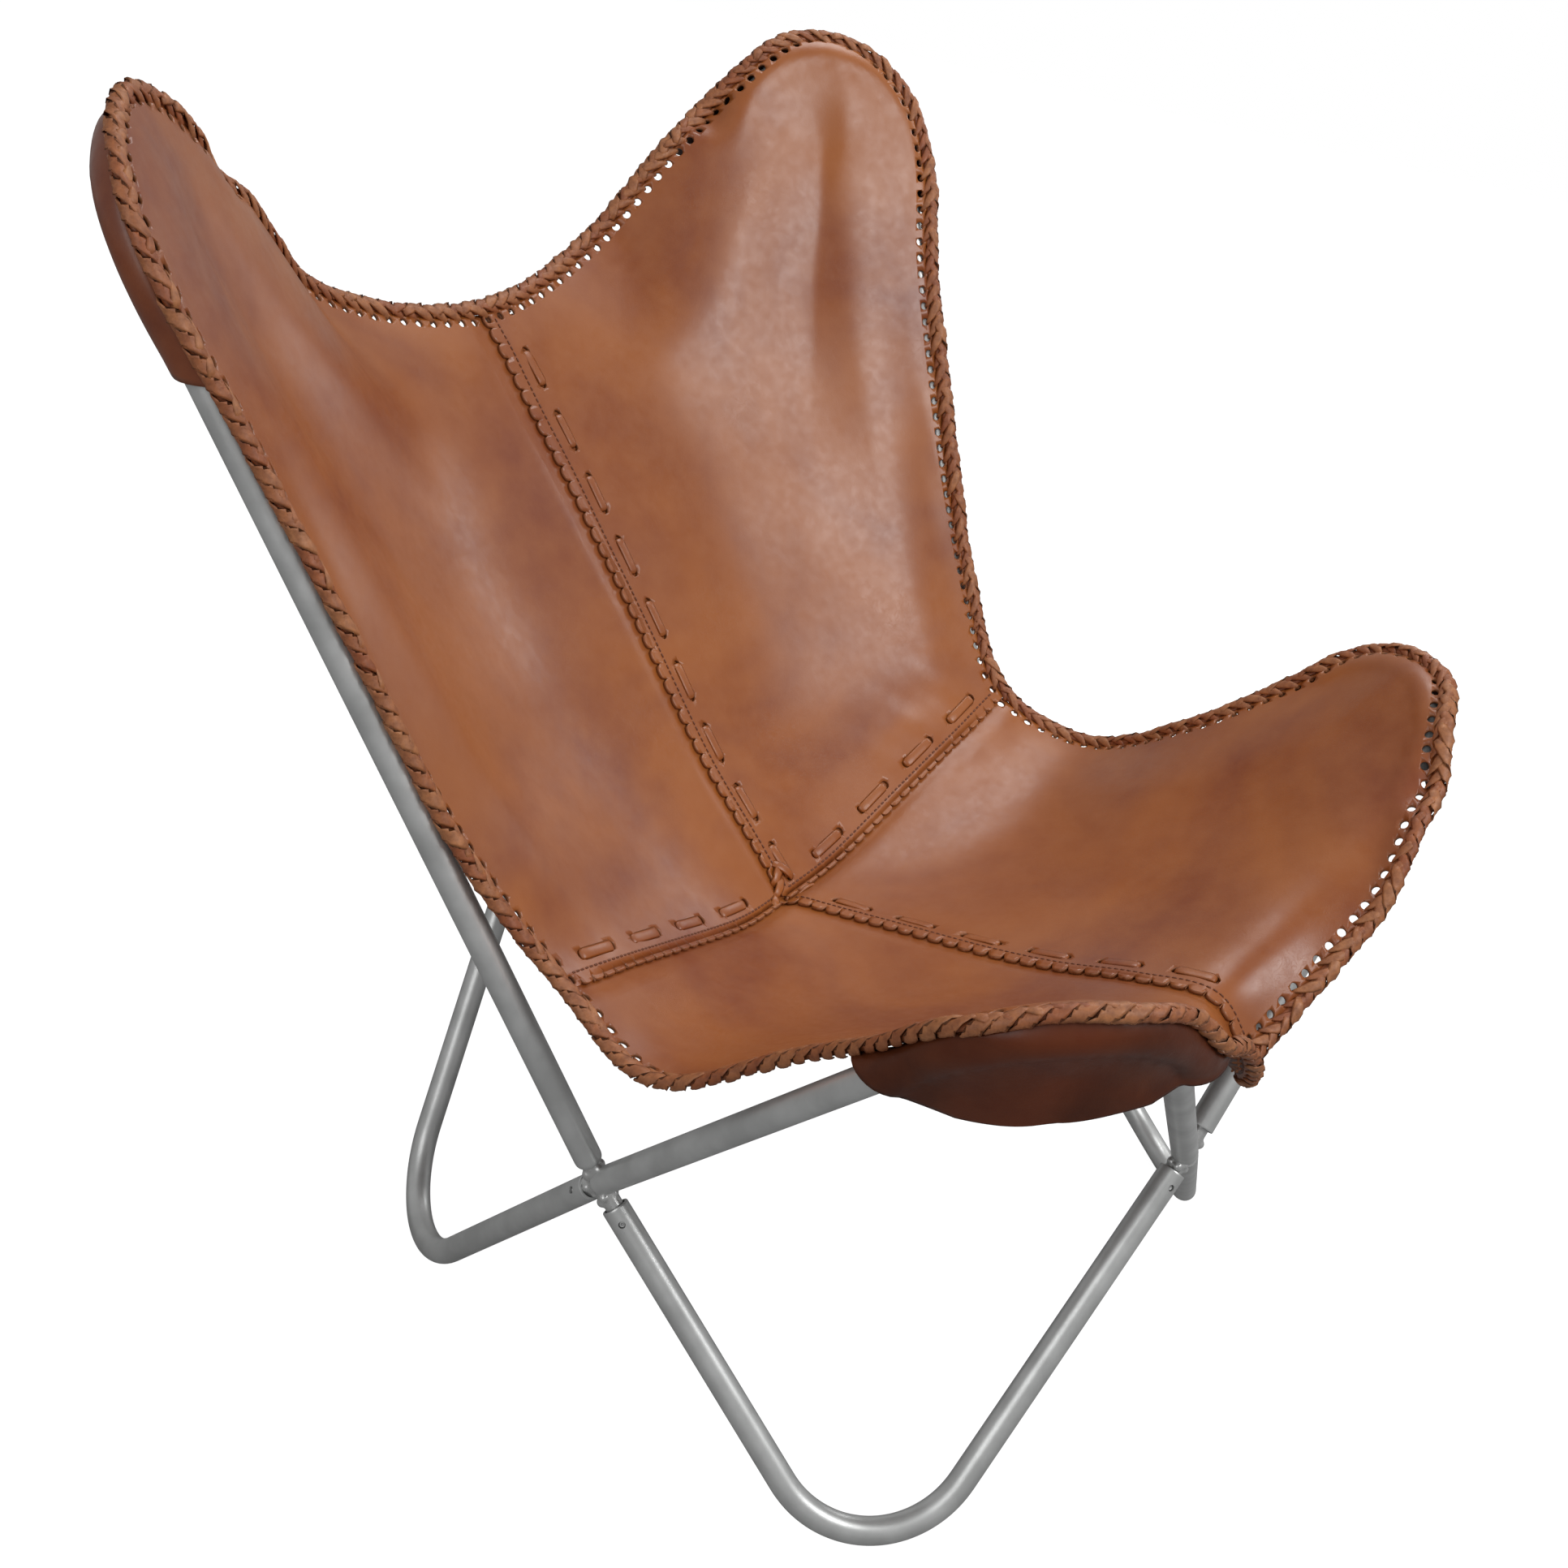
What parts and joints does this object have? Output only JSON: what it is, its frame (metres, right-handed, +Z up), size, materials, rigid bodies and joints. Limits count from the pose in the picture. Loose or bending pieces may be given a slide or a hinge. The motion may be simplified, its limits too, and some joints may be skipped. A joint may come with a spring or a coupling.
{
  "type": "butterfly sling chair",
  "caption": "Knock-down bent tube frame with a leather sling hung by corner pockets on its wing tips; the sitter lies in the sling.",
  "frame": {"origin": "on the floor under the middle of the chair's box", "axes": "+Z up, the chair faces -Y, the sitter's right is -X"},
  "size_m": [0.8702, 0.8044, 0.8831],
  "materials": {
    "frame_steel": "satin silver-grey paint",
    "weld_steel": "painted weld and rod",
    "leather": "glossy mottled cognac",
    "lace": "thong, a little darker than the panels"
  },
  "bodies": {
    "root": {"right_front_leg": "frame_steel", "right_back_leg": "frame_steel", "left_front_leg": "frame_steel", "left_back_leg": "frame_steel", "right_front_wing": "frame_steel", "right_back_wing": "frame_steel", "left_front_wing": "frame_steel", "left_back_wing": "frame_steel", "front_crossing": "weld_steel", "back_crossing": "weld_steel", "right_crossing": "weld_steel", "left_crossing": "weld_steel", "right_front_leg_screw_1": "weld_steel", "right_front_leg_screw_2": "weld_steel", "right_back_leg_screw_1": "weld_steel", "right_back_leg_screw_2": "weld_steel", "left_front_leg_screw_1": "weld_steel", "left_front_leg_screw_2": "weld_steel", "left_back_leg_screw_1": "weld_steel", "left_back_leg_screw_2": "weld_steel", "right_back_panel": "leather", "left_back_panel": "leather", "right_seat_panel": "leather", "left_seat_panel": "leather", "right_back_pocket": "leather", "left_back_pocket": "leather", "right_front_pocket": "leather", "left_front_pocket": "leather", "back_seam_lace": "lace", "seat_seam_lace": "lace", "right_waist_lace": "lace", "left_waist_lace": "lace", "edge_braid": "lace"}
  },
  "joints": []
}
